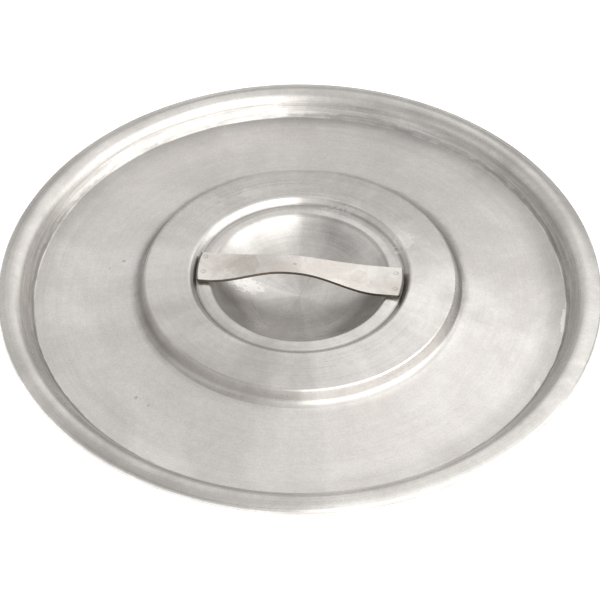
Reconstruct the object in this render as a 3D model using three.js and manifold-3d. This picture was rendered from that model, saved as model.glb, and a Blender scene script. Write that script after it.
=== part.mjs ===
// Pressed stainless lid for a brew kettle, with a welded strap handle over a finger dish.
// Millimetres, +Z up. The origin is on the axis, at the level of the resting ring's underside,
// and the strap runs along X.

import * as THREE from 'three';
import { mergeVertices } from 'three/addons/utils/BufferGeometryUtils.js';
import Module from 'manifold-3d';

const wasm = await Module();
wasm.setup();

// Sheet and overall size
const LID_RADIUS = 185;
const SHEET = 1.0;
const TURN_SEGMENTS = 60;
const ARC_STEP = 30;

// Heights of the upper surface, measured from the upper side of the resting ring
const DISH_FLOOR_Z = 0.5;
const LEDGE_Z = 17.4;
const GROOVE_Z = 16.5;
const LIP_Z = 20.2;
const CREST_Z = 16.9;
const WALL_FOOT_Z = 8.9;
const FLARE_Z = 6.9;
const BEAD_TOP_Z = 12.1;

// Radii of the same features
const DISH_RADIUS = 55.2;
const LEDGE_MIDDLE = 59.5;
const GROOVE_RADIUS = 63.7;
const LIP_RADIUS = 67.6;
const CREST_RADIUS = 95.3;
const WALL_FOOT_RADIUS = 98.2;
const FLARE_RADIUS = 103.5;
const RING_INNER = 152;
const RING_OUTER = 163.4;
const BEAD_TOP_RADIUS = 176.5;

// The dish deepens faster towards its edge than a sphere would
const DISH_SLOPE = 0.13;
const DISH_TIP_ROUND = 2;
const DISH_POWER = 4;
const DISH_STEPS = 6;

// Rim bead: rounding inside and outside its top, steepness where it leaves the wall, and outward fall
const BEAD_INNER_ROUND = 8.9;
const BEAD_OUTER_ROUND = 13;
const BEAD_STEEPNESS = 69;
const BEAD_FALL = 20;
const BEAD_STEPS = 4;

// Curled edge: its outer radius and how far round it is rolled
const CURL = 2.3;
const CURL_END = -150;
const CURL_STEPS = 7;

// Corner radii of the pressing
const DISH_EDGE_RADIUS = 2.5;
const LEDGE_CROWN_RADIUS = 12;
const GROOVE_CORNER_RADIUS = 1.2;
const LIP_CORNER_RADIUS = 2.6;
const CREST_CORNER_RADIUS = 2.0;
const WALL_FOOT_CORNER_RADIUS = 4.5;
const FLARE_CORNER_RADIUS = 20;
const RING_CORNER_RADIUS = 30;
const RIM_WALL_CORNER_RADIUS = 1.2;

// Strap handle
const STRAP_THICKNESS = 2.0;
const STRAP_REACH = 63.3;
const STRAP_WIDTH = 24;
const STRAP_WAIST = 14.8;
const STRAP_CORNER = 1.6;
const STRAP_CENTRE_X = -4;
const ARCH_RISE = 8.0;
const ARCH_HALF_SPAN = 53;
const ARCH_STEPS = 20;
const WAIST_HALF_FLAT = 6;
const WAIST_HALF_SPAN = 54;
const WAIST_STEPS = 16;

// Spot welds under the strap's feet
const WELD_GAP = 0.3;
const WELD_DIAMETER = 4;
const WELD_CLEARANCE = 0.02;
const WELD_SEGMENTS = 16;
const WELDS = [
  { name: 'weld_nugget_left_back', x: -59.2, y: 8.3 },
  { name: 'weld_nugget_left_front', x: -59.0, y: -4.8 },
  { name: 'weld_nugget_right_back', x: 58.2, y: 7.0 },
  { name: 'weld_nugget_right_front', x: 59.0, y: -6.3 },
];

// Everything is lifted by the sheet's thickness, so that the resting ring's underside is at z = 0
const LIFT = SHEET;

const degrees = THREE.MathUtils.degToRad;

function steel(colour, roughness) {
  return new THREE.MeshStandardMaterial({ color: colour, roughness, metalness: 1 });
}

// Points along a round corner of the given radius between two straight stretches
function corner(before, at, after, radius) {
  const toBefore = before.clone().sub(at).normalize();
  const toAfter = after.clone().sub(at).normalize();
  const half = Math.acos(THREE.MathUtils.clamp(toBefore.dot(toAfter), -1, 1)) / 2;
  const reach = radius / Math.tan(half);
  const bisector = toBefore.clone().add(toAfter).normalize();
  const centre = at.clone().addScaledVector(bisector, radius / Math.sin(half));
  const first = at.clone().addScaledVector(toBefore, reach).sub(centre);
  const turn = Math.PI - 2 * half;
  const side = Math.sign(toBefore.cross(toAfter));
  const steps = Math.ceil(turn / degrees(ARC_STEP));
  const points = [];
  for (let i = 0; i <= steps; i += 1) {
    const swing = side * turn * (i / steps);
    points.push(first.clone().rotateAround(new THREE.Vector2(), -swing).add(centre));
  }
  return points;
}

// The pressing's corners from the dish's edge to the foot of the rim: radius, height, rounding
function pressingCorners() {
  return [
    [DISH_RADIUS, LEDGE_Z, DISH_EDGE_RADIUS],
    [LEDGE_MIDDLE, LEDGE_Z, LEDGE_CROWN_RADIUS],
    [GROOVE_RADIUS, GROOVE_Z, GROOVE_CORNER_RADIUS],
    [LIP_RADIUS, LIP_Z, LIP_CORNER_RADIUS],
    [CREST_RADIUS, CREST_Z, CREST_CORNER_RADIUS],
    [WALL_FOOT_RADIUS, WALL_FOOT_Z, WALL_FOOT_CORNER_RADIUS],
    [FLARE_RADIUS, FLARE_Z, FLARE_CORNER_RADIUS],
    [RING_INNER, 0, RING_CORNER_RADIUS],
    [RING_OUTER, 0, RIM_WALL_CORNER_RADIUS],
  ];
}

// Upper surface of the dish, from the axis out to where its rounded edge begins
function dishPoints() {
  const points = [];
  const outer = DISH_RADIUS - DISH_EDGE_RADIUS;
  const bowl = LEDGE_Z - DISH_FLOOR_Z - DISH_SLOPE * DISH_RADIUS;
  for (let i = 0; i < DISH_STEPS; i += 1) {
    const radius = outer * (i / DISH_STEPS);
    const cone = DISH_SLOPE * (Math.hypot(radius, DISH_TIP_ROUND) - DISH_TIP_ROUND);
    const rise = bowl * (radius / DISH_RADIUS) ** DISH_POWER;
    points.push(new THREE.Vector2(radius, DISH_FLOOR_Z + cone + rise));
  }
  return points;
}

// Points on an arc about a centre, between two angles in degrees
function arcPoints(centre, radius, from, to, steps) {
  const points = [];
  for (let i = 0; i <= steps; i += 1) {
    const angle = degrees(from + (to - from) * (i / steps));
    const spoke = new THREE.Vector2(Math.cos(angle), Math.sin(angle));
    points.push(centre.clone().addScaledVector(spoke, radius));
  }
  return points;
}

// The rim's bead, from the crease above the wall over its top and down to the curled edge
function rimPoints() {
  const innerCentre = new THREE.Vector2(BEAD_TOP_RADIUS, BEAD_TOP_Z - BEAD_INNER_ROUND);
  const inner = arcPoints(innerCentre, BEAD_INNER_ROUND, 90 + BEAD_STEEPNESS, 90, BEAD_STEPS);
  const outerCentre = new THREE.Vector2(BEAD_TOP_RADIUS, BEAD_TOP_Z - BEAD_OUTER_ROUND);
  const outer = arcPoints(outerCentre, BEAD_OUTER_ROUND, 90, 90 - BEAD_FALL, 1);
  const fallStart = outer[outer.length - 1];
  const fall = degrees(BEAD_FALL);
  const curlRadius = LID_RADIUS - CURL;
  const curlStartRadius = curlRadius + CURL * Math.sin(fall);
  const curlStartZ = fallStart.y - (curlStartRadius - fallStart.x) * Math.tan(fall);
  const curlCentre = new THREE.Vector2(curlRadius, curlStartZ - CURL * Math.cos(fall));
  const curl = arcPoints(curlCentre, CURL, 90 - BEAD_FALL, CURL_END, CURL_STEPS);
  return [...inner, ...outer.slice(1), ...curl];
}

// The whole upper surface, as radius and height
function upperSurface() {
  const dish = dishPoints();
  const rim = rimPoints();
  const corners = pressingCorners();
  const stations = corners.map(([radius, height]) => new THREE.Vector2(radius, height));
  const path = [...dish];
  for (let i = 0; i < stations.length; i += 1) {
    const before = i === 0 ? dish[dish.length - 1] : stations[i - 1];
    const after = i === stations.length - 1 ? rim[0] : stations[i + 1];
    path.push(...corner(before, stations[i], after, corners[i][2]));
  }
  path.push(...rim);
  return path;
}

// The same line moved by the sheet's thickness to its underside
function underside(path) {
  return path.map((point, i) => {
    const before = path[Math.max(i - 1, 0)];
    const after = path[Math.min(i + 1, path.length - 1)];
    const along = after.clone().sub(before).normalize();
    if (i === 0) {
      along.set(1, 0);
    }
    return new THREE.Vector2(point.x + along.y * SHEET, point.y - along.x * SHEET);
  });
}

function lidShell() {
  const upper = upperSurface();
  const lower = underside(upper);
  lower[0].x = 0;
  const outline = [...lower, ...upper.reverse()];
  const lifted = outline.map((point) => new THREE.Vector2(point.x, point.y + LIFT));
  const turned = new THREE.LatheGeometry(lifted, TURN_SEGMENTS);
  turned.rotateX(Math.PI / 2);
  const mesh = new THREE.Mesh(turned, steel(0xcfccc8, 0.35));
  mesh.name = 'lid_shell';
  return mesh;
}

function toSolid(geometry) {
  const bare = geometry.clone();
  bare.deleteAttribute('normal');
  bare.deleteAttribute('uv');
  const merged = mergeVertices(bare, 1e-4);
  return new wasm.Manifold(new wasm.Mesh({
    numProp: 3,
    vertProperties: new Float32Array(merged.attributes.position.array),
    triVerts: new Uint32Array(merged.index.array),
  }));
}

function toGeometry(solid) {
  const mesh = solid.getMesh();
  const geometry = new THREE.BufferGeometry();
  geometry.setAttribute('position', new THREE.BufferAttribute(mesh.vertProperties, 3));
  geometry.setIndex(new THREE.BufferAttribute(mesh.triVerts, 1));
  return geometry;
}

// Height of the strap's underside above its feet
function archHeight(x) {
  const reach = Math.min(Math.abs(x - STRAP_CENTRE_X) / ARCH_HALF_SPAN, 1);
  return (ARCH_RISE / 2) * (1 + Math.cos(Math.PI * reach));
}

// Half of the strap's width, narrow under the fingers and full at the feet
function halfWidth(x) {
  const reach = Math.abs(x - STRAP_CENTRE_X) - WAIST_HALF_FLAT;
  const share = THREE.MathUtils.clamp(reach / (WAIST_HALF_SPAN - WAIST_HALF_FLAT), 0, 1);
  const flare = (1 - Math.cos(Math.PI * share)) / 2;
  return (STRAP_WAIST + (STRAP_WIDTH - STRAP_WAIST) * flare) / 2;
}

// Side view of the strap, longer than the finished piece
function strapSide() {
  const under = [];
  const start = STRAP_CENTRE_X - ARCH_HALF_SPAN;
  under.push(new THREE.Vector2(-LID_RADIUS / 2, 0));
  for (let i = 0; i <= ARCH_STEPS; i += 1) {
    const x = start + 2 * ARCH_HALF_SPAN * (i / ARCH_STEPS);
    under.push(new THREE.Vector2(x, archHeight(x)));
  }
  under.push(new THREE.Vector2(LID_RADIUS / 2, 0));
  const upper = under.map((point) => new THREE.Vector2(point.x, point.y + STRAP_THICKNESS));
  const shape = new THREE.Shape([...under, ...upper.reverse()]);
  const geometry = new THREE.ExtrudeGeometry(shape, { depth: 2 * STRAP_WIDTH, bevelEnabled: false });
  geometry.rotateX(Math.PI / 2);
  geometry.translate(0, STRAP_WIDTH, LIFT + LEDGE_Z + WELD_GAP);
  return geometry;
}

// Plan view of the strap: waisted sides and ends cut to an arc about the lid's axis
function strapPlan() {
  const halfFoot = STRAP_WIDTH / 2;
  const cornerY = halfFoot - STRAP_CORNER;
  const endAngle = Math.asin(cornerY / STRAP_REACH);
  const shoulderX = Math.sqrt(STRAP_REACH ** 2 - cornerY ** 2) - STRAP_CORNER;
  const front = [];
  for (let i = 0; i <= WAIST_STEPS; i += 1) {
    const x = -shoulderX + 2 * shoulderX * (i / WAIST_STEPS);
    front.push(new THREE.Vector2(x, -halfWidth(x)));
  }
  const rightEnd = [];
  for (let i = -1; i <= 1; i += 0.5) {
    const angle = endAngle * i;
    rightEnd.push(new THREE.Vector2(STRAP_REACH * Math.cos(angle), STRAP_REACH * Math.sin(angle)));
  }
  const back = front.map((point) => new THREE.Vector2(point.x, -point.y)).reverse();
  const leftEnd = rightEnd.map((point) => new THREE.Vector2(-point.x, -point.y));
  const shape = new THREE.Shape([...front, ...rightEnd, ...back, ...leftEnd]);
  const geometry = new THREE.ExtrudeGeometry(shape, { depth: 2 * LID_RADIUS, bevelEnabled: false });
  geometry.translate(0, 0, -LID_RADIUS);
  return geometry;
}

function strapHandle() {
  const solid = toSolid(strapSide()).intersect(toSolid(strapPlan()));
  const mesh = new THREE.Mesh(toGeometry(solid), steel(0xd9d4cf, 0.42));
  mesh.name = 'strap_handle';
  return mesh;
}

function weldNugget(weld) {
  const height = WELD_GAP - 2 * WELD_CLEARANCE;
  const disc = new THREE.CylinderGeometry(WELD_DIAMETER / 2, WELD_DIAMETER / 2, height, WELD_SEGMENTS);
  disc.rotateX(Math.PI / 2);
  const mesh = new THREE.Mesh(disc, steel(0xb9b4ad, 0.5));
  mesh.name = weld.name;
  mesh.position.set(weld.x, weld.y, LIFT + LEDGE_Z + WELD_GAP / 2);
  return mesh;
}

const lid = new THREE.Group();
lid.add(lidShell());
lid.add(strapHandle());
for (const weld of WELDS) {
  lid.add(weldNugget(weld));
}

export default lid;
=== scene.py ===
"""A pressed stainless kettle lid with a welded strap handle, in metres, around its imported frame."""

import math

import bmesh
import bpy
from mathutils import Matrix, Vector


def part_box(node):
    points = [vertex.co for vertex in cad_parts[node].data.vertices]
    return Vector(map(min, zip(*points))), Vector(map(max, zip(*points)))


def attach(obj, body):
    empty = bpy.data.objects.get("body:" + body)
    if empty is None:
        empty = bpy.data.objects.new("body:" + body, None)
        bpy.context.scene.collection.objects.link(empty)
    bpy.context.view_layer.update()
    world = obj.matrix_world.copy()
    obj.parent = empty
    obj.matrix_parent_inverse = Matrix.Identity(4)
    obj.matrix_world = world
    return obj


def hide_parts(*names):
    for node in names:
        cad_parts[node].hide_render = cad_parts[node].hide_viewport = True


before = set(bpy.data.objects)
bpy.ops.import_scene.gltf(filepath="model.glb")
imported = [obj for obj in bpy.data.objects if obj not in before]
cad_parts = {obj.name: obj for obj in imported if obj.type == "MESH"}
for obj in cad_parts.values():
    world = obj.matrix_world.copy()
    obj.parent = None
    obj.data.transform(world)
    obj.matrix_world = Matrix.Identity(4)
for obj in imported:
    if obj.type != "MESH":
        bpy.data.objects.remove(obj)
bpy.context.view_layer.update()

MM = 0.001

# ---------------------------------------------------------------- sizes of the pressing
lid_low, lid_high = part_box("lid_shell")
strap_low, strap_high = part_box("strap_handle")

LID_RADIUS = lid_high.x
SHEET = 1.0 * MM
FLOOR_TOP = lid_low.z + SHEET
TURN_SEGMENTS = 360
ARC_STEP = math.radians(6)

DISH_FLOOR = 0.5 * MM
LEDGE = 17.4 * MM
DISH_RADIUS = 55.2 * MM
DISH_EDGE_ROUND = 2.5 * MM
DISH_SLOPE = 0.13
DISH_TIP_ROUND = 2.0 * MM
DISH_POWER = 4
DISH_STEPS = 26

# radius, height and rounding of each corner of the pressing, from the dish's edge outwards
PRESSED_CORNERS = [
    (DISH_RADIUS, LEDGE, DISH_EDGE_ROUND),
    (59.5 * MM, LEDGE, 12.0 * MM),
    (63.7 * MM, 16.5 * MM, 1.2 * MM),
    (67.6 * MM, 20.2 * MM, 2.6 * MM),
    (95.3 * MM, 16.9 * MM, 2.0 * MM),
    (98.2 * MM, 8.9 * MM, 4.5 * MM),
    (103.5 * MM, 6.9 * MM, 20.0 * MM),
    (152.0 * MM, 0.0, 30.0 * MM),
    (163.4 * MM, 0.0, 1.2 * MM),
]
FLOOR_START = 101.0 * MM
FLOOR_END = 162.6 * MM
BEAD_TOP_RADIUS = 176.5 * MM
BEAD_TOP = 12.1 * MM
BEAD_INNER_ROUND = 8.9 * MM
BEAD_OUTER_ROUND = 13.0 * MM
BEAD_STEEPNESS = 69
BEAD_FALL = 20
CURL = 2.3 * MM
CURL_END = -150

# ---------------------------------------------------------------- sizes of the strap
STRAP_REACH = strap_high.x
STRAP_BASE = strap_low.z
STRAP_HALF_FOOT = strap_high.y
STRAP_THICKNESS = 2.0 * MM
STRAP_HALF_WAIST = 7.4 * MM
STRAP_CORNER = 1.6 * MM
STRAP_CENTRE = -4.0 * MM
ARCH_RISE = strap_high.z - strap_low.z - STRAP_THICKNESS
ARCH_HALF_SPAN = 53.0 * MM
WAIST_HALF_FLAT = 6.0 * MM
WAIST_HALF_SPAN = 54.0 * MM
STRAP_COLUMNS = 200
STRAP_ROWS = 44
STRAP_BEVEL = 0.28 * MM

WELDS = [
    "weld_nugget_left_back",
    "weld_nugget_left_front",
    "weld_nugget_right_back",
    "weld_nugget_right_front",
]
DIMPLE_RADIUS = 1.5 * MM
DIMPLE_DEPTH = 0.16 * MM
DIMPLE_RING = 0.05 * MM

# where painted finishes and painted shade change, as distances from the axis
# radii of painted shade lines at the ledge's groove and the dish's edge
GROOVE_MIDDLE = 0.0637
DISH_LINE = 0.0545
# radius of a painted shade line in the crease at the rim wall's foot
WALL_FOOT_LINE = 0.1640
WALL_SCUFF_START = (0.1630, 0.1650)
WALL_SCUFF_END = (0.1680, 0.1705)
# painted shade at the plateau wall's foot and on the floor by the rim wall
PLATEAU_SHADE_START = (0.0962, 0.0985)
PLATEAU_SHADE_END = (0.0995, 0.1045)
FLOOR_SHADE_RISE = (0.143, 0.162)
# painted shade on the dish's front sides beside the strap
DISH_SHADE_START = (0.034, 0.046)
DISH_SHADE_END = (0.0535, 0.0552)

# worn patches: centre, half size, fleck scale per metre, share of flecks, strength
SPUN_MARKS = [
    ((-0.032, 0.0, 0.0), (0.015, 0.010, 1.0), 460.0, 0.53, 0.50),
    ((-0.038, 0.069, 0.0), (0.013, 0.009, 1.0), 170.0, 0.55, 0.30),
    ((-0.060, 0.058, 0.0), (0.012, 0.008, 1.0), 150.0, 0.50, 0.25),
    ((0.060, 0.036, 0.0), (0.010, 0.016, 1.0), 380.0, 0.50, 0.40),
    ((0.015, 0.060, 0.0), (0.020, 0.006, 1.0), 320.0, 0.50, 0.35),
]
FLOOR_NICKS = [
    ((0.1622, -0.003, 0.0), (0.0026, 0.017, 1.0), 700.0, 0.70, 0.55),
    ((0.1500, -0.060, 0.0), (0.0030, 0.010, 1.0), 700.0, 0.60, 0.40),
]
FLOOR_PITS = [
    ((-0.1110, 0.0123, 0.008), (0.0016, 0.0014, 1.0), 500.0, 0.95, 0.40),
    ((-0.0870, -0.0986, 0.008), (0.0014, 0.0018, 1.0), 500.0, 0.95, 0.35),
    ((-0.0788, -0.1044, 0.008), (0.0013, 0.0013, 1.0), 500.0, 0.95, 0.30),
    ((-0.1190, 0.0060, 0.008), (0.0011, 0.0011, 1.0), 500.0, 0.95, 0.30),
]
STRAP_STAINS = [
    ((-0.034, 0.0, 0.022), (0.015, 0.012, 1.0), 120.0, 0.62, 0.28),
    ((0.036, 0.0, 0.020), (0.014, 0.010, 1.0), 90.0, 0.50, 0.25),
    ((-0.003, 0.0, 0.027), (0.0018, 0.0014, 1.0), 900.0, 0.8, 0.8),
]

# ---------------------------------------------------------------- camera
CAMERA_AZIMUTH = math.radians(6.6)
CAMERA_ELEVATION = math.radians(45.19)
CAMERA_DISTANCE = 12 * LID_RADIUS
VIEW_WIDTH = 1.9945 * LID_RADIUS
SENSOR_WIDTH = 36.0
AIM_BELOW_FLOOR = 3.2 * MM


def make_camera():
    data = bpy.data.cameras.new("studio_camera")
    data.sensor_width = SENSOR_WIDTH
    data.lens = SENSOR_WIDTH * CAMERA_DISTANCE / VIEW_WIDTH
    data.clip_end = 100
    camera = bpy.data.objects.new("studio_camera", data)
    bpy.context.scene.collection.objects.link(camera)
    flat = math.cos(CAMERA_ELEVATION)
    back = Vector((
        math.sin(CAMERA_AZIMUTH) * flat,
        -math.cos(CAMERA_AZIMUTH) * flat,
        math.sin(CAMERA_ELEVATION),
    ))
    target = Vector((0, 0, FLOOR_TOP - AIM_BELOW_FLOOR))
    camera.location = target + back * CAMERA_DISTANCE
    camera.rotation_euler = (-back).to_track_quat("-Z", "Y").to_euler()
    bpy.context.scene.camera = camera


# ---------------------------------------------------------------- node helpers
def new_material(name):
    material = bpy.data.materials.new(name)
    material.use_nodes = True
    material.node_tree.nodes.clear()
    return material, material.node_tree


def add(tree, kind, **settings):
    node = tree.nodes.new(kind)
    for key, value in settings.items():
        setattr(node, key, value)
    return node


def feed(tree, socket, value):
    if isinstance(value, bpy.types.NodeSocket):
        tree.links.new(value, socket)
    else:
        socket.default_value = value


def maths(tree, operation, first, second=0.0, clamp=False):
    node = add(tree, "ShaderNodeMath", operation=operation, use_clamp=clamp)
    feed(tree, node.inputs[0], first)
    feed(tree, node.inputs[1], second)
    return node.outputs[0]


def remap(tree, value, low, high, to_low=0.0, to_high=1.0, smooth=True):
    node = add(tree, "ShaderNodeMapRange")
    node.interpolation_type = "SMOOTHSTEP" if smooth else "LINEAR"
    feed(tree, node.inputs["Value"], value)
    feed(tree, node.inputs["From Min"], low)
    feed(tree, node.inputs["From Max"], high)
    feed(tree, node.inputs["To Min"], to_low)
    feed(tree, node.inputs["To Max"], to_high)
    return node.outputs["Result"]


def blend_colour(tree, share, first, second, mode="MIX"):
    node = add(tree, "ShaderNodeMix", data_type="RGBA", blend_type=mode)
    feed(tree, node.inputs["Factor"], share)
    feed(tree, node.inputs[6], first)
    feed(tree, node.inputs[7], second)
    return node.outputs[2]


def noise(tree, vector, scale, detail=3.0, roughness=0.5):
    node = add(tree, "ShaderNodeTexNoise")
    feed(tree, node.inputs["Vector"], vector)
    feed(tree, node.inputs["Scale"], scale)
    node.inputs["Detail"].default_value = detail
    node.inputs["Roughness"].default_value = roughness
    return node.outputs["Fac"]


def new_group(name, inputs, outputs):
    group = bpy.data.node_groups.new(name, "ShaderNodeTree")
    for label, kind, default in inputs:
        socket = group.interface.new_socket(label, in_out="INPUT", socket_type=kind)
        if default is not None:
            socket.default_value = default
    for label, kind in outputs:
        group.interface.new_socket(label, in_out="OUTPUT", socket_type=kind)
    return group, add(group, "NodeGroupInput"), add(group, "NodeGroupOutput")


def place(tree, group, **values):
    node = add(tree, "ShaderNodeGroup", node_tree=group)
    for label, value in values.items():
        feed(tree, node.inputs[label.replace("_", " ")], value)
    return node


# ---------------------------------------------------------------- shared effects
def spun_lines_group():
    """Fine turning marks: noise that changes quickly with radius and slowly round the axis."""
    group, given, result = new_group(
        "spun_lines",
        [("Pitch", "NodeSocketFloat", 900.0), ("Wander", "NodeSocketFloat", 1.2)],
        [("Lines", "NodeSocketFloat"), ("Bands", "NodeSocketFloat"), ("Fans", "NodeSocketFloat"),
         ("Radius", "NodeSocketFloat")],
    )
    where = add(group, "ShaderNodeTexCoord").outputs["Object"]
    split = add(group, "ShaderNodeSeparateXYZ")
    feed(group, split.inputs[0], where)
    flat = add(group, "ShaderNodeCombineXYZ")
    feed(group, flat.inputs[0], split.outputs[0])
    feed(group, flat.inputs[1], split.outputs[1])
    length = add(group, "ShaderNodeVectorMath", operation="LENGTH")
    feed(group, length.inputs[0], flat.outputs[0])
    radius = length.outputs["Value"]
    unit = add(group, "ShaderNodeVectorMath", operation="NORMALIZE")
    feed(group, unit.inputs[0], flat.outputs[0])
    turned = add(group, "ShaderNodeVectorMath", operation="SCALE")
    feed(group, turned.inputs[0], unit.outputs[0])
    feed(group, turned.inputs["Scale"], given.outputs["Wander"])
    outward = add(group, "ShaderNodeCombineXYZ")
    feed(group, outward.inputs[2], maths(group, "MULTIPLY", radius, given.outputs["Pitch"]))
    joined = add(group, "ShaderNodeVectorMath", operation="ADD")
    feed(group, joined.inputs[0], turned.outputs[0])
    feed(group, joined.inputs[1], outward.outputs[0])
    feed(group, result.inputs["Lines"], noise(group, joined.outputs[0], 1.0, 2.0, 0.5))
    feed(group, result.inputs["Bands"], noise(group, joined.outputs[0], 0.22, 2.0, 0.5))
    wedge = add(group, "ShaderNodeVectorMath", operation="SCALE")
    feed(group, wedge.inputs[0], unit.outputs[0])
    feed(group, wedge.inputs["Scale"], 2.6)
    feed(group, result.inputs["Fans"], noise(group, wedge.outputs[0], 1.0, 4.0, 0.6))
    feed(group, result.inputs["Radius"], radius)
    return group


def sheet_grain_group():
    """Fine grain, mottling and soft smudges of a handled steel sheet, each as a factor near 1."""
    group, given, result = new_group(
        "sheet_grain",
        [
            ("Grain Scale", "NodeSocketFloat", 900.0),
            ("Smudge Scale", "NodeSocketFloat", 16.0),
            ("Grain Amount", "NodeSocketFloat", 0.1),
            ("Mottle Amount", "NodeSocketFloat", 0.05),
            ("Smudge Amount", "NodeSocketFloat", 0.08),
        ],
        [("Grain", "NodeSocketFloat"), ("Smudge", "NodeSocketFloat"), ("Tone", "NodeSocketFloat")],
    )
    where = add(group, "ShaderNodeTexCoord").outputs["Object"]
    fine = add(group, "ShaderNodeTexNoise")
    feed(group, fine.inputs["Vector"], where)
    feed(group, fine.inputs["Scale"], given.outputs["Grain Scale"])
    fine.inputs["Detail"].default_value = 3.0
    fine.inputs["Roughness"].default_value = 0.65
    mottle = add(group, "ShaderNodeTexNoise")
    feed(group, mottle.inputs["Vector"], where)
    feed(group, mottle.inputs["Scale"], maths(group, "MULTIPLY", given.outputs["Smudge Scale"], 12.0))
    mottle.inputs["Detail"].default_value = 3.0
    mottle.inputs["Roughness"].default_value = 0.6
    soft = add(group, "ShaderNodeTexNoise")
    feed(group, soft.inputs["Vector"], where)
    feed(group, soft.inputs["Scale"], given.outputs["Smudge Scale"])
    soft.inputs["Detail"].default_value = 4.0
    soft.inputs["Roughness"].default_value = 0.6
    soft.inputs["Distortion"].default_value = 0.8
    tone = 1.0
    for source, amount in (
        (fine, "Grain Amount"),
        (mottle, "Mottle Amount"),
        (soft, "Smudge Amount"),
    ):
        centred = maths(group, "SUBTRACT", source.outputs["Fac"], 0.5)
        swing = maths(group, "MULTIPLY", centred, given.outputs[amount])
        tone = maths(group, "ADD", tone, swing)
    feed(group, result.inputs["Grain"], fine.outputs["Fac"])
    feed(group, result.inputs["Smudge"], soft.outputs["Fac"])
    feed(group, result.inputs["Tone"], tone)
    return group


def worn_patch_group():
    """One irregular patch of flecks: 1 inside, 0 outside, broken up by noise."""
    group, given, result = new_group(
        "worn_patch",
        [
            ("Centre", "NodeSocketVector", (0.0, 0.0, 0.0)),
            ("Size", "NodeSocketVector", (0.01, 0.01, 1.0)),
            ("Fleck Scale", "NodeSocketFloat", 500.0),
            ("Fleck Share", "NodeSocketFloat", 0.5),
        ],
        [("Mask", "NodeSocketFloat")],
    )
    where = add(group, "ShaderNodeTexCoord").outputs["Object"]
    shifted = add(group, "ShaderNodeVectorMath", operation="SUBTRACT")
    feed(group, shifted.inputs[0], where)
    feed(group, shifted.inputs[1], given.outputs["Centre"])
    shrunk = add(group, "ShaderNodeVectorMath", operation="DIVIDE")
    feed(group, shrunk.inputs[0], shifted.outputs[0])
    feed(group, shrunk.inputs[1], given.outputs["Size"])
    reach = add(group, "ShaderNodeVectorMath", operation="LENGTH")
    feed(group, reach.inputs[0], shrunk.outputs[0])
    inside = remap(group, reach.outputs["Value"], 0.2, 1.1, 1.0, 0.0)
    flecks = noise(group, where, given.outputs["Fleck Scale"], 3.0, 0.6)
    limit = maths(group, "SUBTRACT", 1.0, maths(group, "MULTIPLY", inside, given.outputs["Fleck Share"]))
    over = maths(group, "SUBTRACT", flecks, maths(group, "MULTIPLY", limit, 0.75))
    feed(group, result.inputs["Mask"], remap(group, over, -0.02, 0.05))
    return group


def foot_shade_group():
    """Factor of painted shade that darkens the rings where walls meet the floor, heavier at the back."""
    group, given, result = new_group(
        "painted_foot_shade",
        [("Inner Amount", "NodeSocketFloat", 0.3), ("Outer Amount", "NodeSocketFloat", 0.3)],
        [("Factor", "NodeSocketFloat")],
    )
    where = add(group, "ShaderNodeTexCoord").outputs["Object"]
    split = add(group, "ShaderNodeSeparateXYZ")
    feed(group, split.inputs[0], where)
    across = maths(group, "MULTIPLY", split.outputs[0], split.outputs[0])
    ahead = maths(group, "MULTIPLY", split.outputs[1], split.outputs[1])
    radius = maths(group, "SQRT", maths(group, "ADD", across, ahead))
    uneven = noise(group, where, 60.0, 3.0, 0.6)
    shift = maths(group, "MULTIPLY", maths(group, "SUBTRACT", uneven, 0.5), 0.006)
    strayed = maths(group, "ADD", radius, shift)
    rise = remap(group, radius, *PLATEAU_SHADE_START)
    hidden = remap(group, split.outputs[1], 0.02, 0.09, 0.0, 0.0042)
    inner = remap(group, maths(group, "SUBTRACT", strayed, hidden), *PLATEAU_SHADE_END, 1.0, 0.0)
    inner = maths(group, "MULTIPLY", rise, inner)
    slant = maths(group, "MULTIPLY", split.outputs[0], 0.35)
    slant = maths(group, "SUBTRACT", split.outputs[1], slant)
    inner = maths(group, "MULTIPLY", inner, remap(group, slant, -0.060, -0.035))
    outer = remap(group, strayed, *FLOOR_SHADE_RISE)
    outer = maths(group, "MULTIPLY", outer, remap(group, split.outputs[1], -0.15, 0.09, 0.1, 1.0))
    inner = maths(group, "MULTIPLY", inner, given.outputs["Inner Amount"])
    outer = maths(group, "MULTIPLY", outer, given.outputs["Outer Amount"])
    # painted shade: a dark line in the crease at the rim wall's foot
    crease_shade = remap(group, maths(group, "ABSOLUTE", maths(group, "SUBTRACT", strayed, WALL_FOOT_LINE)),
                  0.0004, 0.0016, 1.0, 0.0)
    crease_shade = maths(group, "MULTIPLY", crease_shade, remap(group, uneven, 0.35, 0.6, 0.12, 0.32))
    outer = maths(group, "MAXIMUM", outer, crease_shade)
    factor = maths(group, "SUBTRACT", 1.0, maths(group, "ADD", inner, outer))
    feed(group, result.inputs["Factor"], factor)
    return group


SPUN_LINES = spun_lines_group()
FOOT_SHADE = foot_shade_group()
SHEET_GRAIN = sheet_grain_group()
WORN_PATCH = worn_patch_group()


def tint_patches(tree, colour, patches, worn_colour):
    """Blend a colour towards another inside each listed patch, on both faces of the sheet."""
    for centre, size, scale, share, strength in patches:
        patch = place(tree, WORN_PATCH, Fleck_Scale=scale, Fleck_Share=share)
        patch.inputs["Centre"].default_value = centre
        patch.inputs["Size"].default_value = size
        amount = maths(tree, "MULTIPLY", patch.outputs["Mask"], strength)
        colour = blend_colour(tree, amount, colour, worn_colour)
    return colour


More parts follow.
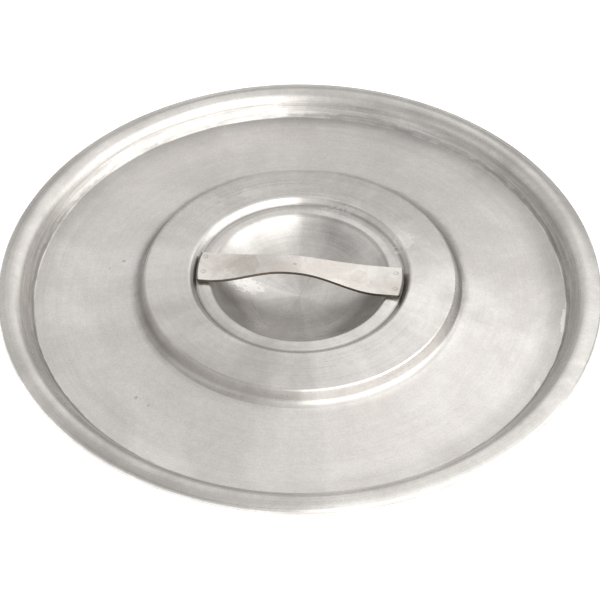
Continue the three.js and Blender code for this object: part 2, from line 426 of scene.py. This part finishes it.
def steel_shader(tree, colour, roughness, normal, anisotropy, turn, tangent):
    shader = add(tree, "ShaderNodeBsdfPrincipled")
    feed(tree, shader.inputs["Base Color"], colour)
    feed(tree, shader.inputs["Roughness"], roughness)
    feed(tree, shader.inputs["Normal"], normal)
    shader.inputs["Metallic"].default_value = 1.0
    shader.inputs["Anisotropic"].default_value = anisotropy
    shader.inputs["Anisotropic Rotation"].default_value = turn
    if tangent is not None:
        feed(tree, shader.inputs["Tangent"], tangent)
    output = add(tree, "ShaderNodeOutputMaterial")
    feed(tree, output.inputs["Surface"], shader.outputs[0])


def bump(tree, height, strength, distance, normal=None):
    node = add(tree, "ShaderNodeBump")
    node.inputs["Strength"].default_value = strength
    node.inputs["Distance"].default_value = distance
    feed(tree, node.inputs["Height"], height)
    if normal is not None:
        feed(tree, node.inputs["Normal"], normal)
    return node.outputs[0]


def radial_tangent(tree):
    return add(tree, "ShaderNodeTangent", direction_type="RADIAL", axis="Z").outputs[0]


# ---------------------------------------------------------------- finishes
def shaded(tree, colour, *factors):
    """Multiply a colour by each brightness factor in turn."""
    for factor in factors:
        colour = blend_colour(tree, 1.0, colour, factor, "MULTIPLY")
    return colour


def spun_steel():
    """Turned satin finish of the raised centre, the dish and the rim."""
    material, tree = new_material("spun_satin_steel")
    lines = place(tree, SPUN_LINES, Pitch=3200.0, Wander=5.0)
    grain = place(tree, SHEET_GRAIN, Grain_Scale=900.0, Smudge_Scale=20.0,
                  Grain_Amount=0.30, Mottle_Amount=0.22, Smudge_Amount=0.28)
    smudge = remap(tree, grain.outputs["Smudge"], 0.35, 0.7)
    tone = blend_colour(tree, smudge, (0.65, 0.627, 0.601, 1), (0.70, 0.681, 0.658, 1))
    streak = remap(tree, lines.outputs["Bands"], 0.3, 0.7, 0.955, 1.04)
    fan = remap(tree, lines.outputs["Fans"], 0.3, 0.7, 0.93, 1.07)
    on_wall = maths(tree, "MULTIPLY", remap(tree, lines.outputs["Radius"], *WALL_SCUFF_START),
                    remap(tree, lines.outputs["Radius"], *WALL_SCUFF_END, 1.0, 0.0))
    scratches = remap(tree, lines.outputs["Lines"], 0.3, 0.65, 0.76, 1.06)
    scuffed = add(tree, "ShaderNodeMix", data_type="FLOAT")
    feed(tree, scuffed.inputs["Factor"], on_wall)
    feed(tree, scuffed.inputs["A"], fan)
    feed(tree, scuffed.inputs["B"], scratches)
    in_dish = remap(tree, lines.outputs["Radius"], 0.9 * DISH_RADIUS, DISH_RADIUS, 0.92, 1.0)
    # painted shade: darker dish sides in front beside the strap, and dark painted lines at the ledge's
    # groove and the dish's edge
    split = add(tree, "ShaderNodeSeparateXYZ")
    feed(tree, split.inputs[0], add(tree, "ShaderNodeTexCoord").outputs["Object"])
    beside = remap(tree, maths(tree, "ABSOLUTE", split.outputs[0]), 0.012, 0.034)
    before = remap(tree, split.outputs[1], -0.008, 0.004, 1.0, 0.0)
    steep = maths(tree, "MULTIPLY", remap(tree, lines.outputs["Radius"], *DISH_SHADE_START),
                  remap(tree, lines.outputs["Radius"], *DISH_SHADE_END, 1.0, 0.0))
    strap_side_shade = maths(tree, "MULTIPLY", steep, maths(tree, "MULTIPLY", beside, before))
    dish_shade = remap(tree, strap_side_shade, 0.0, 1.0, 1.0, 0.62)
    from_groove = maths(tree, "SUBTRACT", lines.outputs["Radius"], GROOVE_MIDDLE)
    groove_shade = remap(tree, maths(tree, "ABSOLUTE", from_groove), 0.0004, 0.0017, 0.66, 1.0)
    from_edge = maths(tree, "SUBTRACT", lines.outputs["Radius"], DISH_LINE)
    dish_edge_shade = remap(tree, maths(tree, "ABSOLUTE", from_edge), 0.0003, 0.0013, 0.80, 1.0)
    dish_shade = maths(tree, "MULTIPLY", dish_shade, maths(tree, "MULTIPLY", groove_shade, dish_edge_shade))
    # painted shade at the foot of the plateau's wall
    foot_shade = place(tree, FOOT_SHADE, Inner_Amount=0.34, Outer_Amount=0.0)
    colour = shaded(tree, tone, streak, scuffed.outputs["Result"], in_dish, dish_shade,
                    foot_shade.outputs["Factor"], grain.outputs["Tone"])
    colour = tint_patches(tree, colour, SPUN_MARKS, (0.92, 0.91, 0.89, 1))
    roughness = maths(tree, "ADD", remap(tree, lines.outputs["Bands"], 0.3, 0.7, 0.27, 0.34),
                      remap(tree, grain.outputs["Smudge"], 0.35, 0.7, 0.03, -0.03))
    normal = bump(tree, lines.outputs["Lines"], 0.07, 0.012 * MM)
    steel_shader(tree, colour, roughness, normal, 0.75, 0.25, radial_tangent(tree))
    return material


def floor_steel():
    """Softer, more even satin of the sunk floor, with painted shade where it meets the rim's wall."""
    material, tree = new_material("sunk_floor_satin_steel")
    lines = place(tree, SPUN_LINES, Pitch=2500.0, Wander=9.0)
    grain = place(tree, SHEET_GRAIN, Grain_Scale=800.0, Smudge_Scale=17.0,
                  Grain_Amount=0.36, Mottle_Amount=0.13, Smudge_Amount=0.18)
    smudge = remap(tree, grain.outputs["Smudge"], 0.35, 0.7)
    tone = blend_colour(tree, smudge, (0.745, 0.718, 0.692, 1), (0.80, 0.777, 0.755, 1))
    # painted shade where the floor meets the plateau's and the rim's walls, heavier at the back
    foot_shade = place(tree, FOOT_SHADE, Inner_Amount=0.34, Outer_Amount=0.34)
    streak = remap(tree, lines.outputs["Bands"], 0.3, 0.7, 0.98, 1.02)
    fan = remap(tree, lines.outputs["Fans"], 0.3, 0.7, 0.965, 1.035)
    colour = shaded(tree, tone, foot_shade.outputs["Factor"], streak, fan, grain.outputs["Tone"])
    colour = tint_patches(tree, colour, FLOOR_NICKS, (0.95, 0.94, 0.92, 1))
    colour = tint_patches(tree, colour, FLOOR_PITS, (0.22, 0.20, 0.18, 1))
    roughness = maths(tree, "ADD", 0.40, remap(tree, grain.outputs["Smudge"], 0.35, 0.7, 0.03, -0.03))
    normal = bump(tree, grain.outputs["Grain"], 0.10, 0.03 * MM)
    normal = bump(tree, lines.outputs["Lines"], 0.06, 0.012 * MM, normal)
    steel_shader(tree, colour, roughness, normal, 0.45, 0.25, radial_tangent(tree))
    return material


def strap_steel(welds):
    """Matt strip with rolling marks, a tan stain, rings round its welds and painted shade along its
    ends.
    """
    material, tree = new_material("rolled_strip_steel")
    where = add(tree, "ShaderNodeTexCoord").outputs["Object"]
    stretch = add(tree, "ShaderNodeMapping")
    stretch.inputs["Scale"].default_value = (60.0, 2400.0, 60.0)
    feed(tree, stretch.inputs["Vector"], where)
    marks = noise(tree, stretch.outputs[0], 1.0, 4.0, 0.6)
    grain = place(tree, SHEET_GRAIN, Grain_Scale=1500.0, Smudge_Scale=38.0,
                  Grain_Amount=0.30, Mottle_Amount=0.20, Smudge_Amount=0.20)
    smudge = remap(tree, grain.outputs["Smudge"], 0.38, 0.66)
    tone = blend_colour(tree, smudge, (0.79, 0.745, 0.70, 1), (0.90, 0.875, 0.84, 1))
    tone = tint_patches(tree, tone, STRAP_STAINS, (0.60, 0.52, 0.45, 1))
    split = add(tree, "ShaderNodeSeparateXYZ")
    feed(tree, split.inputs[0], where)
    # painted shade: a dark band along the strap's ends, where they meet the lid
    square = STRAP_HALF_FOOT - 2 * STRAP_CORNER
    rounding = (STRAP_REACH - strap_end(square)) / square ** 2
    sideways = maths(tree, "MULTIPLY", split.outputs[1], split.outputs[1])
    across = maths(tree, "ADD", maths(tree, "ABSOLUTE", split.outputs[0]),
                   maths(tree, "MULTIPLY", sideways, rounding))
    end_shade = remap(tree, across, STRAP_REACH - 1.2 * MM, STRAP_REACH - 0.6 * MM, 1.0, 0.25)
    colour = shaded(tree, tone, grain.outputs["Tone"], end_shade)
    for weld in welds:
        gap = add(tree, "ShaderNodeVectorMath", operation="DISTANCE")
        feed(tree, gap.inputs[0], where)
        gap.inputs[1].default_value = (weld.x, weld.y, STRAP_BASE + STRAP_THICKNESS)
        inner = remap(tree, gap.outputs["Value"], 0.8 * MM, 1.2 * MM, 0.25, 1.0)
        outer = remap(tree, gap.outputs["Value"], 1.5 * MM, 2.0 * MM, 1.0, 0.0)
        ring = maths(tree, "MULTIPLY", inner, outer)
        colour = blend_colour(tree, maths(tree, "MULTIPLY", ring, 0.45), colour, (0.42, 0.40, 0.37, 1))
    roughness = remap(tree, marks, 0.3, 0.7, 0.42, 0.52)
    normal = bump(tree, marks, 0.15, 0.03 * MM)
    along = add(tree, "ShaderNodeTangent", direction_type="UV_MAP")
    steel_shader(tree, colour, roughness, normal, 0.3, 0.25, along.outputs[0])
    return material


def shade_edge_steel():
    """Rough cut edge faces of the strip, coloured dark as painted shade."""
    material, tree = new_material("painted_shade_edge_steel")
    grain = place(tree, SHEET_GRAIN, Grain_Scale=2500.0, Smudge_Scale=90.0,
                  Grain_Amount=0.5, Mottle_Amount=0.4, Smudge_Amount=0.4)
    # painted shade: the strip's edge faces are coloured dark
    colour = shaded(tree, (0.17, 0.145, 0.12, 1), grain.outputs["Tone"])
    roughness = remap(tree, grain.outputs["Grain"], 0.3, 0.7, 0.42, 0.6)
    normal = bump(tree, grain.outputs["Grain"], 0.3, 0.05 * MM)
    steel_shader(tree, colour, roughness, normal, 0.0, 0.0, None)
    return material


def weld_steel():
    """Rough, uneven metal of the fused weld nuggets."""
    material, tree = new_material("fused_weld_steel")
    grain = place(tree, SHEET_GRAIN, Grain_Scale=2500.0, Smudge_Scale=400.0)
    tone = blend_colour(tree, remap(tree, grain.outputs["Smudge"], 0.35, 0.65),
                        (0.30, 0.27, 0.24, 1), (0.52, 0.49, 0.46, 1))
    roughness = remap(tree, grain.outputs["Grain"], 0.3, 0.7, 0.4, 0.6)
    normal = bump(tree, grain.outputs["Grain"], 0.3, 0.05 * MM)
    steel_shader(tree, tone, roughness, normal, 0.0, 0.0, None)
    return material


# ---------------------------------------------------------------- the pressing
def rounded_corner(before, at, after, radius):
    to_before = (before - at).normalized()
    to_after = (after - at).normalized()
    half = math.acos(max(-1.0, min(1.0, to_before.dot(to_after)))) / 2
    centre = at + (to_before + to_after).normalized() * (radius / math.sin(half))
    first = at + to_before * (radius / math.tan(half)) - centre
    cross = to_before.x * to_after.y - to_before.y * to_after.x
    turn = -math.copysign(math.pi - 2 * half, cross)
    steps = max(3, math.ceil(abs(turn) / ARC_STEP))
    points = []
    for i in range(steps + 1):
        points.append(centre + Matrix.Rotation(turn * i / steps, 2) @ first)
    return points


def dish_line():
    points = []
    outer = DISH_RADIUS - DISH_EDGE_ROUND
    bowl = LEDGE - DISH_FLOOR - DISH_SLOPE * DISH_RADIUS
    for i in range(DISH_STEPS):
        radius = outer * i / DISH_STEPS
        cone = DISH_SLOPE * (math.hypot(radius, DISH_TIP_ROUND) - DISH_TIP_ROUND)
        rise = bowl * (radius / DISH_RADIUS) ** DISH_POWER
        points.append(Vector((radius, DISH_FLOOR + cone + rise)))
    return points


def arc_line(centre, radius, start, end, steps):
    points = []
    for i in range(steps + 1):
        angle = math.radians(start + (end - start) * i / steps)
        points.append(centre + Vector((math.cos(angle), math.sin(angle))) * radius)
    return points


def rim_line():
    """The bead from the crease above the rim's wall, over its top and round the curled edge."""
    inner_centre = Vector((BEAD_TOP_RADIUS, BEAD_TOP - BEAD_INNER_ROUND))
    inner = arc_line(inner_centre, BEAD_INNER_ROUND, 90 + BEAD_STEEPNESS, 90, 16)
    outer_centre = Vector((BEAD_TOP_RADIUS, BEAD_TOP - BEAD_OUTER_ROUND))
    outer = arc_line(outer_centre, BEAD_OUTER_ROUND, 90, 90 - BEAD_FALL, 5)
    fall = math.radians(BEAD_FALL)
    curl_radius = LID_RADIUS - CURL
    start_radius = curl_radius + CURL * math.sin(fall)
    start_height = outer[-1].y - (start_radius - outer[-1].x) * math.tan(fall)
    curl_centre = Vector((curl_radius, start_height - CURL * math.cos(fall)))
    curl = arc_line(curl_centre, CURL, 90 - BEAD_FALL, CURL_END, 28)
    return inner + outer[1:] + curl


def with_midpoints(path, longest):
    """Adds points along straight stretches so that no step is longer than the given one."""
    filled = [path[0]]
    for point in path[1:]:
        start = filled[-1]
        steps = math.ceil((point - start).length / longest)
        for i in range(1, steps + 1):
            filled.append(start.lerp(point, i / steps))
    return filled


def upper_line():
    """Radius and height of the pressing's upper surface, from the axis to the end of the curl."""
    dish = dish_line()
    rim = rim_line()
    stations = [Vector((radius, height)) for radius, height, _ in PRESSED_CORNERS]
    path = list(dish)
    for i, station in enumerate(stations):
        before = stations[i - 1] if i else dish[-1]
        after = stations[i + 1] if i + 1 < len(stations) else rim[0]
        path += rounded_corner(before, station, after, PRESSED_CORNERS[i][2])
    return with_midpoints(path + rim, 4 * MM)


def under_line(path):
    shifted = []
    for i, point in enumerate(path):
        before = path[max(i - 1, 0)]
        after = path[min(i + 1, len(path) - 1)]
        along = (after - before).normalized()
        if i == 0:
            along = Vector((1, 0))
        shifted.append(point + Vector((along.y, -along.x)) * SHEET)
    shifted[0].x = 0
    return shifted


def lid_pressing(spun, satin):
    upper = upper_line()
    outline = under_line(upper) + upper[::-1]
    mesh = bpy.data.meshes.new("lid_pressing")
    form = bmesh.new()
    rings = []
    for radius, height in outline:
        z = height + FLOOR_TOP
        if radius < 1e-7:
            rings.append([form.verts.new((0, 0, z))])
            continue
        ring = []
        for i in range(TURN_SEGMENTS):
            angle = math.tau * i / TURN_SEGMENTS
            ring.append(form.verts.new((radius * math.cos(angle), radius * math.sin(angle), z)))
        rings.append(ring)
    for inner, outer, first, second in zip(rings, rings[1:], outline, outline[1:]):
        middle = (first.x + second.x) / 2
        on_floor = FLOOR_START < middle < FLOOR_END
        for i in range(TURN_SEGMENTS):
            j = (i + 1) % TURN_SEGMENTS
            corners = [inner[i % len(inner)], outer[i % len(outer)],
                       outer[j % len(outer)], inner[j % len(inner)]]
            face = form.faces.new(list(dict.fromkeys(corners)))
            face.smooth = True
            face.material_index = 1 if on_floor else 0
    bmesh.ops.recalc_face_normals(form, faces=form.faces)
    form.to_mesh(mesh)
    form.free()
    mesh.materials.append(spun)
    mesh.materials.append(satin)
    piece = bpy.data.objects.new("lid_pressing", mesh)
    bpy.context.scene.collection.objects.link(piece)
    return piece


# ---------------------------------------------------------------- the strap
def arch_height(x):
    reach = min(abs(x - STRAP_CENTRE) / ARCH_HALF_SPAN, 1)
    return ARCH_RISE / 2 * (1 + math.cos(math.pi * reach))


def half_width(x):
    reach = abs(x - STRAP_CENTRE) - WAIST_HALF_FLAT
    share = max(0.0, min(1.0, reach / (WAIST_HALF_SPAN - WAIST_HALF_FLAT)))
    flare = (1 - math.cos(math.pi * share)) / 2
    return STRAP_HALF_WAIST + (STRAP_HALF_FOOT - STRAP_HALF_WAIST) * flare


def strap_end(y):
    """How far the strap reaches along X at a distance y from its middle line."""
    past = abs(y) - (STRAP_HALF_FOOT - STRAP_CORNER)
    cut = 0.0
    if past > 0:
        cut = STRAP_CORNER - math.sqrt(max(STRAP_CORNER ** 2 - past ** 2, 0))
    return math.sqrt(STRAP_REACH ** 2 - y ** 2) - cut


def dimple(x, y, welds):
    """Dent that a welding electrode leaves, with a faint raised ring round it."""
    depth = 0.0
    for centre in welds:
        gap = math.hypot(x - centre.x, y - centre.y) / DIMPLE_RADIUS
        if gap < 1:
            depth -= DIMPLE_DEPTH * math.cos(gap * math.pi / 2) ** 0.6
        if gap < 1.8:
            depth += DIMPLE_RING * math.exp(-((gap - 1.15) / 0.22) ** 2)
    return depth


def weld_centres():
    centres = []
    for name in WELDS:
        low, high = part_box(name)
        centres.append((low + high) / 2)
    return centres


def strap_strip(welds, material, edge_material):
    mesh = bpy.data.meshes.new("strap_strip")
    form = bmesh.new()
    top = []
    bottom = []
    for row in range(STRAP_ROWS + 1):
        share = -math.cos(math.pi * row / STRAP_ROWS)
        share = 0.5 * share + 0.5 * (2 * row / STRAP_ROWS - 1)
        top_row = []
        bottom_row = []
        for column in range(STRAP_COLUMNS + 1):
            along = 2 * column / STRAP_COLUMNS - 1
            y_foot = share * STRAP_HALF_FOOT
            x = along * strap_end(y_foot)
            y = share * half_width(x)
            z = STRAP_BASE + arch_height(x)
            top_row.append(form.verts.new((x, y, z + STRAP_THICKNESS + dimple(x, y, welds))))
            bottom_row.append(form.verts.new((x, y, z)))
        top.append(top_row)
        bottom.append(bottom_row)
    for row in range(STRAP_ROWS):
        for column in range(STRAP_COLUMNS):
            form.faces.new((top[row][column], top[row][column + 1],
                            top[row + 1][column + 1], top[row + 1][column]))
            form.faces.new((bottom[row][column], bottom[row + 1][column],
                            bottom[row + 1][column + 1], bottom[row][column + 1]))
    edges = []
    for column in range(STRAP_COLUMNS):
        for row in (0, -1):
            edges.append((bottom[row][column], bottom[row][column + 1],
                          top[row][column + 1], top[row][column]))
    for row in range(STRAP_ROWS):
        for column in (0, -1):
            edges.append((bottom[row][column], bottom[row + 1][column],
                          top[row + 1][column], top[row][column]))
    for corners in edges:
        form.faces.new(corners).material_index = 1
    bmesh.ops.recalc_face_normals(form, faces=form.faces)
    layer = form.loops.layers.uv.new("lengthwise")
    for face in form.faces:
        face.smooth = True
        for loop in face.loops:
            loop[layer].uv = (loop.vert.co.x * 8, loop.vert.co.y * 8)
    form.to_mesh(mesh)
    form.free()
    mesh.materials.append(material)
    mesh.materials.append(edge_material)
    piece = bpy.data.objects.new("strap_strip", mesh)
    bpy.context.scene.collection.objects.link(piece)
    bevel = piece.modifiers.new("deburred_edges", "BEVEL")
    bevel.width = STRAP_BEVEL
    bevel.segments = 3
    bevel.limit_method = "ANGLE"
    bevel.angle_limit = math.radians(50)
    bevel.harden_normals = False
    return piece


# ---------------------------------------------------------------- studio
def studio_floor():
    """A plain pale floor, glowing a little so that it stays nearly white."""
    material, tree = new_material("pale_floor")
    shade = add(tree, "ShaderNodeBsdfDiffuse")
    shade.inputs["Color"].default_value = (0.9, 0.9, 0.9, 1)
    glow = add(tree, "ShaderNodeEmission")
    glow.inputs["Color"].default_value = (1, 1, 1, 1)
    glow.inputs["Strength"].default_value = 0.55
    both = add(tree, "ShaderNodeAddShader")
    feed(tree, both.inputs[0], shade.outputs[0])
    feed(tree, both.inputs[1], glow.outputs[0])
    output = add(tree, "ShaderNodeOutputMaterial")
    feed(tree, output.inputs["Surface"], both.outputs[0])
    mesh = bpy.data.meshes.new("studio_floor")
    half = 6.0
    corners = [(-half, -half, 0), (half, -half, 0), (half, half, 0), (-half, half, 0)]
    mesh.from_pydata(corners, [], [(0, 1, 2, 3)])
    mesh.materials.append(material)
    floor = bpy.data.objects.new("studio_floor", mesh)
    floor.location.z = lid_low.z - 0.05 * MM
    bpy.context.scene.collection.objects.link(floor)


def studio_light():
    """A soft room: pale overhead, duller low down, and one large bright screen to the right."""
    world = bpy.data.worlds.new("studio_room")
    world.use_nodes = True
    tree = world.node_tree
    tree.nodes.clear()
    direction = add(tree, "ShaderNodeTexCoord").outputs["Generated"]
    turned = add(tree, "ShaderNodeVectorRotate", rotation_type="Z_AXIS")
    feed(tree, turned.inputs["Vector"], direction)
    turned.inputs["Angle"].default_value = -CAMERA_AZIMUTH
    split = add(tree, "ShaderNodeSeparateXYZ")
    feed(tree, split.inputs[0], turned.outputs[0])
    right, ahead, up = split.outputs

    to_right = maths(tree, "MAXIMUM", right, 0.0)
    to_left = maths(tree, "MINIMUM", right, 0.0)
    low = remap(tree, ahead, -0.1, -0.8, 0.46, 0.72)
    low = maths(tree, "SUBTRACT", low, maths(tree, "MULTIPLY", to_right, 0.20))
    low = maths(tree, "ADD", low, maths(tree, "MULTIPLY", to_left, 0.08))
    high = maths(tree, "ADD", 0.74, remap(tree, right, -0.40, -0.16, 0.0, 0.34))
    high = maths(tree, "ADD", high, remap(tree, right, 0.0, 0.13, 0.0, 0.22))
    high = maths(tree, "SUBTRACT", high, remap(tree, up, 0.67, 0.90, 0.0, 0.34))
    room = add(tree, "ShaderNodeMix", data_type="FLOAT")
    sideways = remap(tree, maths(tree, "ABSOLUTE", right), 0.30, 0.60, 0.0, 0.25)
    feed(tree, room.inputs["Factor"], remap(tree, maths(tree, "ADD", up, sideways), 0.48, 0.66))
    feed(tree, room.inputs["A"], low)
    feed(tree, room.inputs["B"], high)

    screen = remap(tree, right, -0.01, 0.025)
    edge = maths(tree, "ADD", maths(tree, "MULTIPLY", right, 0.40), 0.05)
    reach = maths(tree, "SUBTRACT", edge, ahead)
    screen = maths(tree, "MULTIPLY", screen, remap(tree, reach, 0.02, 0.50))
    screen = maths(tree, "MULTIPLY", screen, remap(tree, up, -0.40, 0.05))
    strength = maths(tree, "ADD", room.outputs["Result"], maths(tree, "MULTIPLY", screen, 1.15))
    backdrop = add(tree, "ShaderNodeBackground")
    backdrop.inputs["Color"].default_value = (1.0, 0.99, 0.975, 1)
    feed(tree, backdrop.inputs["Strength"], strength)
    output = add(tree, "ShaderNodeOutputWorld")
    feed(tree, output.inputs["Surface"], backdrop.outputs[0])
    bpy.context.scene.world = world


def main():
    scene = bpy.context.scene
    scene.view_settings.view_transform = "Standard"
    make_camera()
    studio_floor()
    studio_light()

    pressing = lid_pressing(spun_steel(), floor_steel())
    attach(pressing, "root")
    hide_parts("lid_shell")

    welds = weld_centres()
    strap = strap_strip(welds, strap_steel(welds), shade_edge_steel())
    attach(strap, "root")
    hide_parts("strap_handle")

    fused = weld_steel()
    for name in WELDS:
        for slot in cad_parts[name].material_slots:
            slot.material = fused


main()
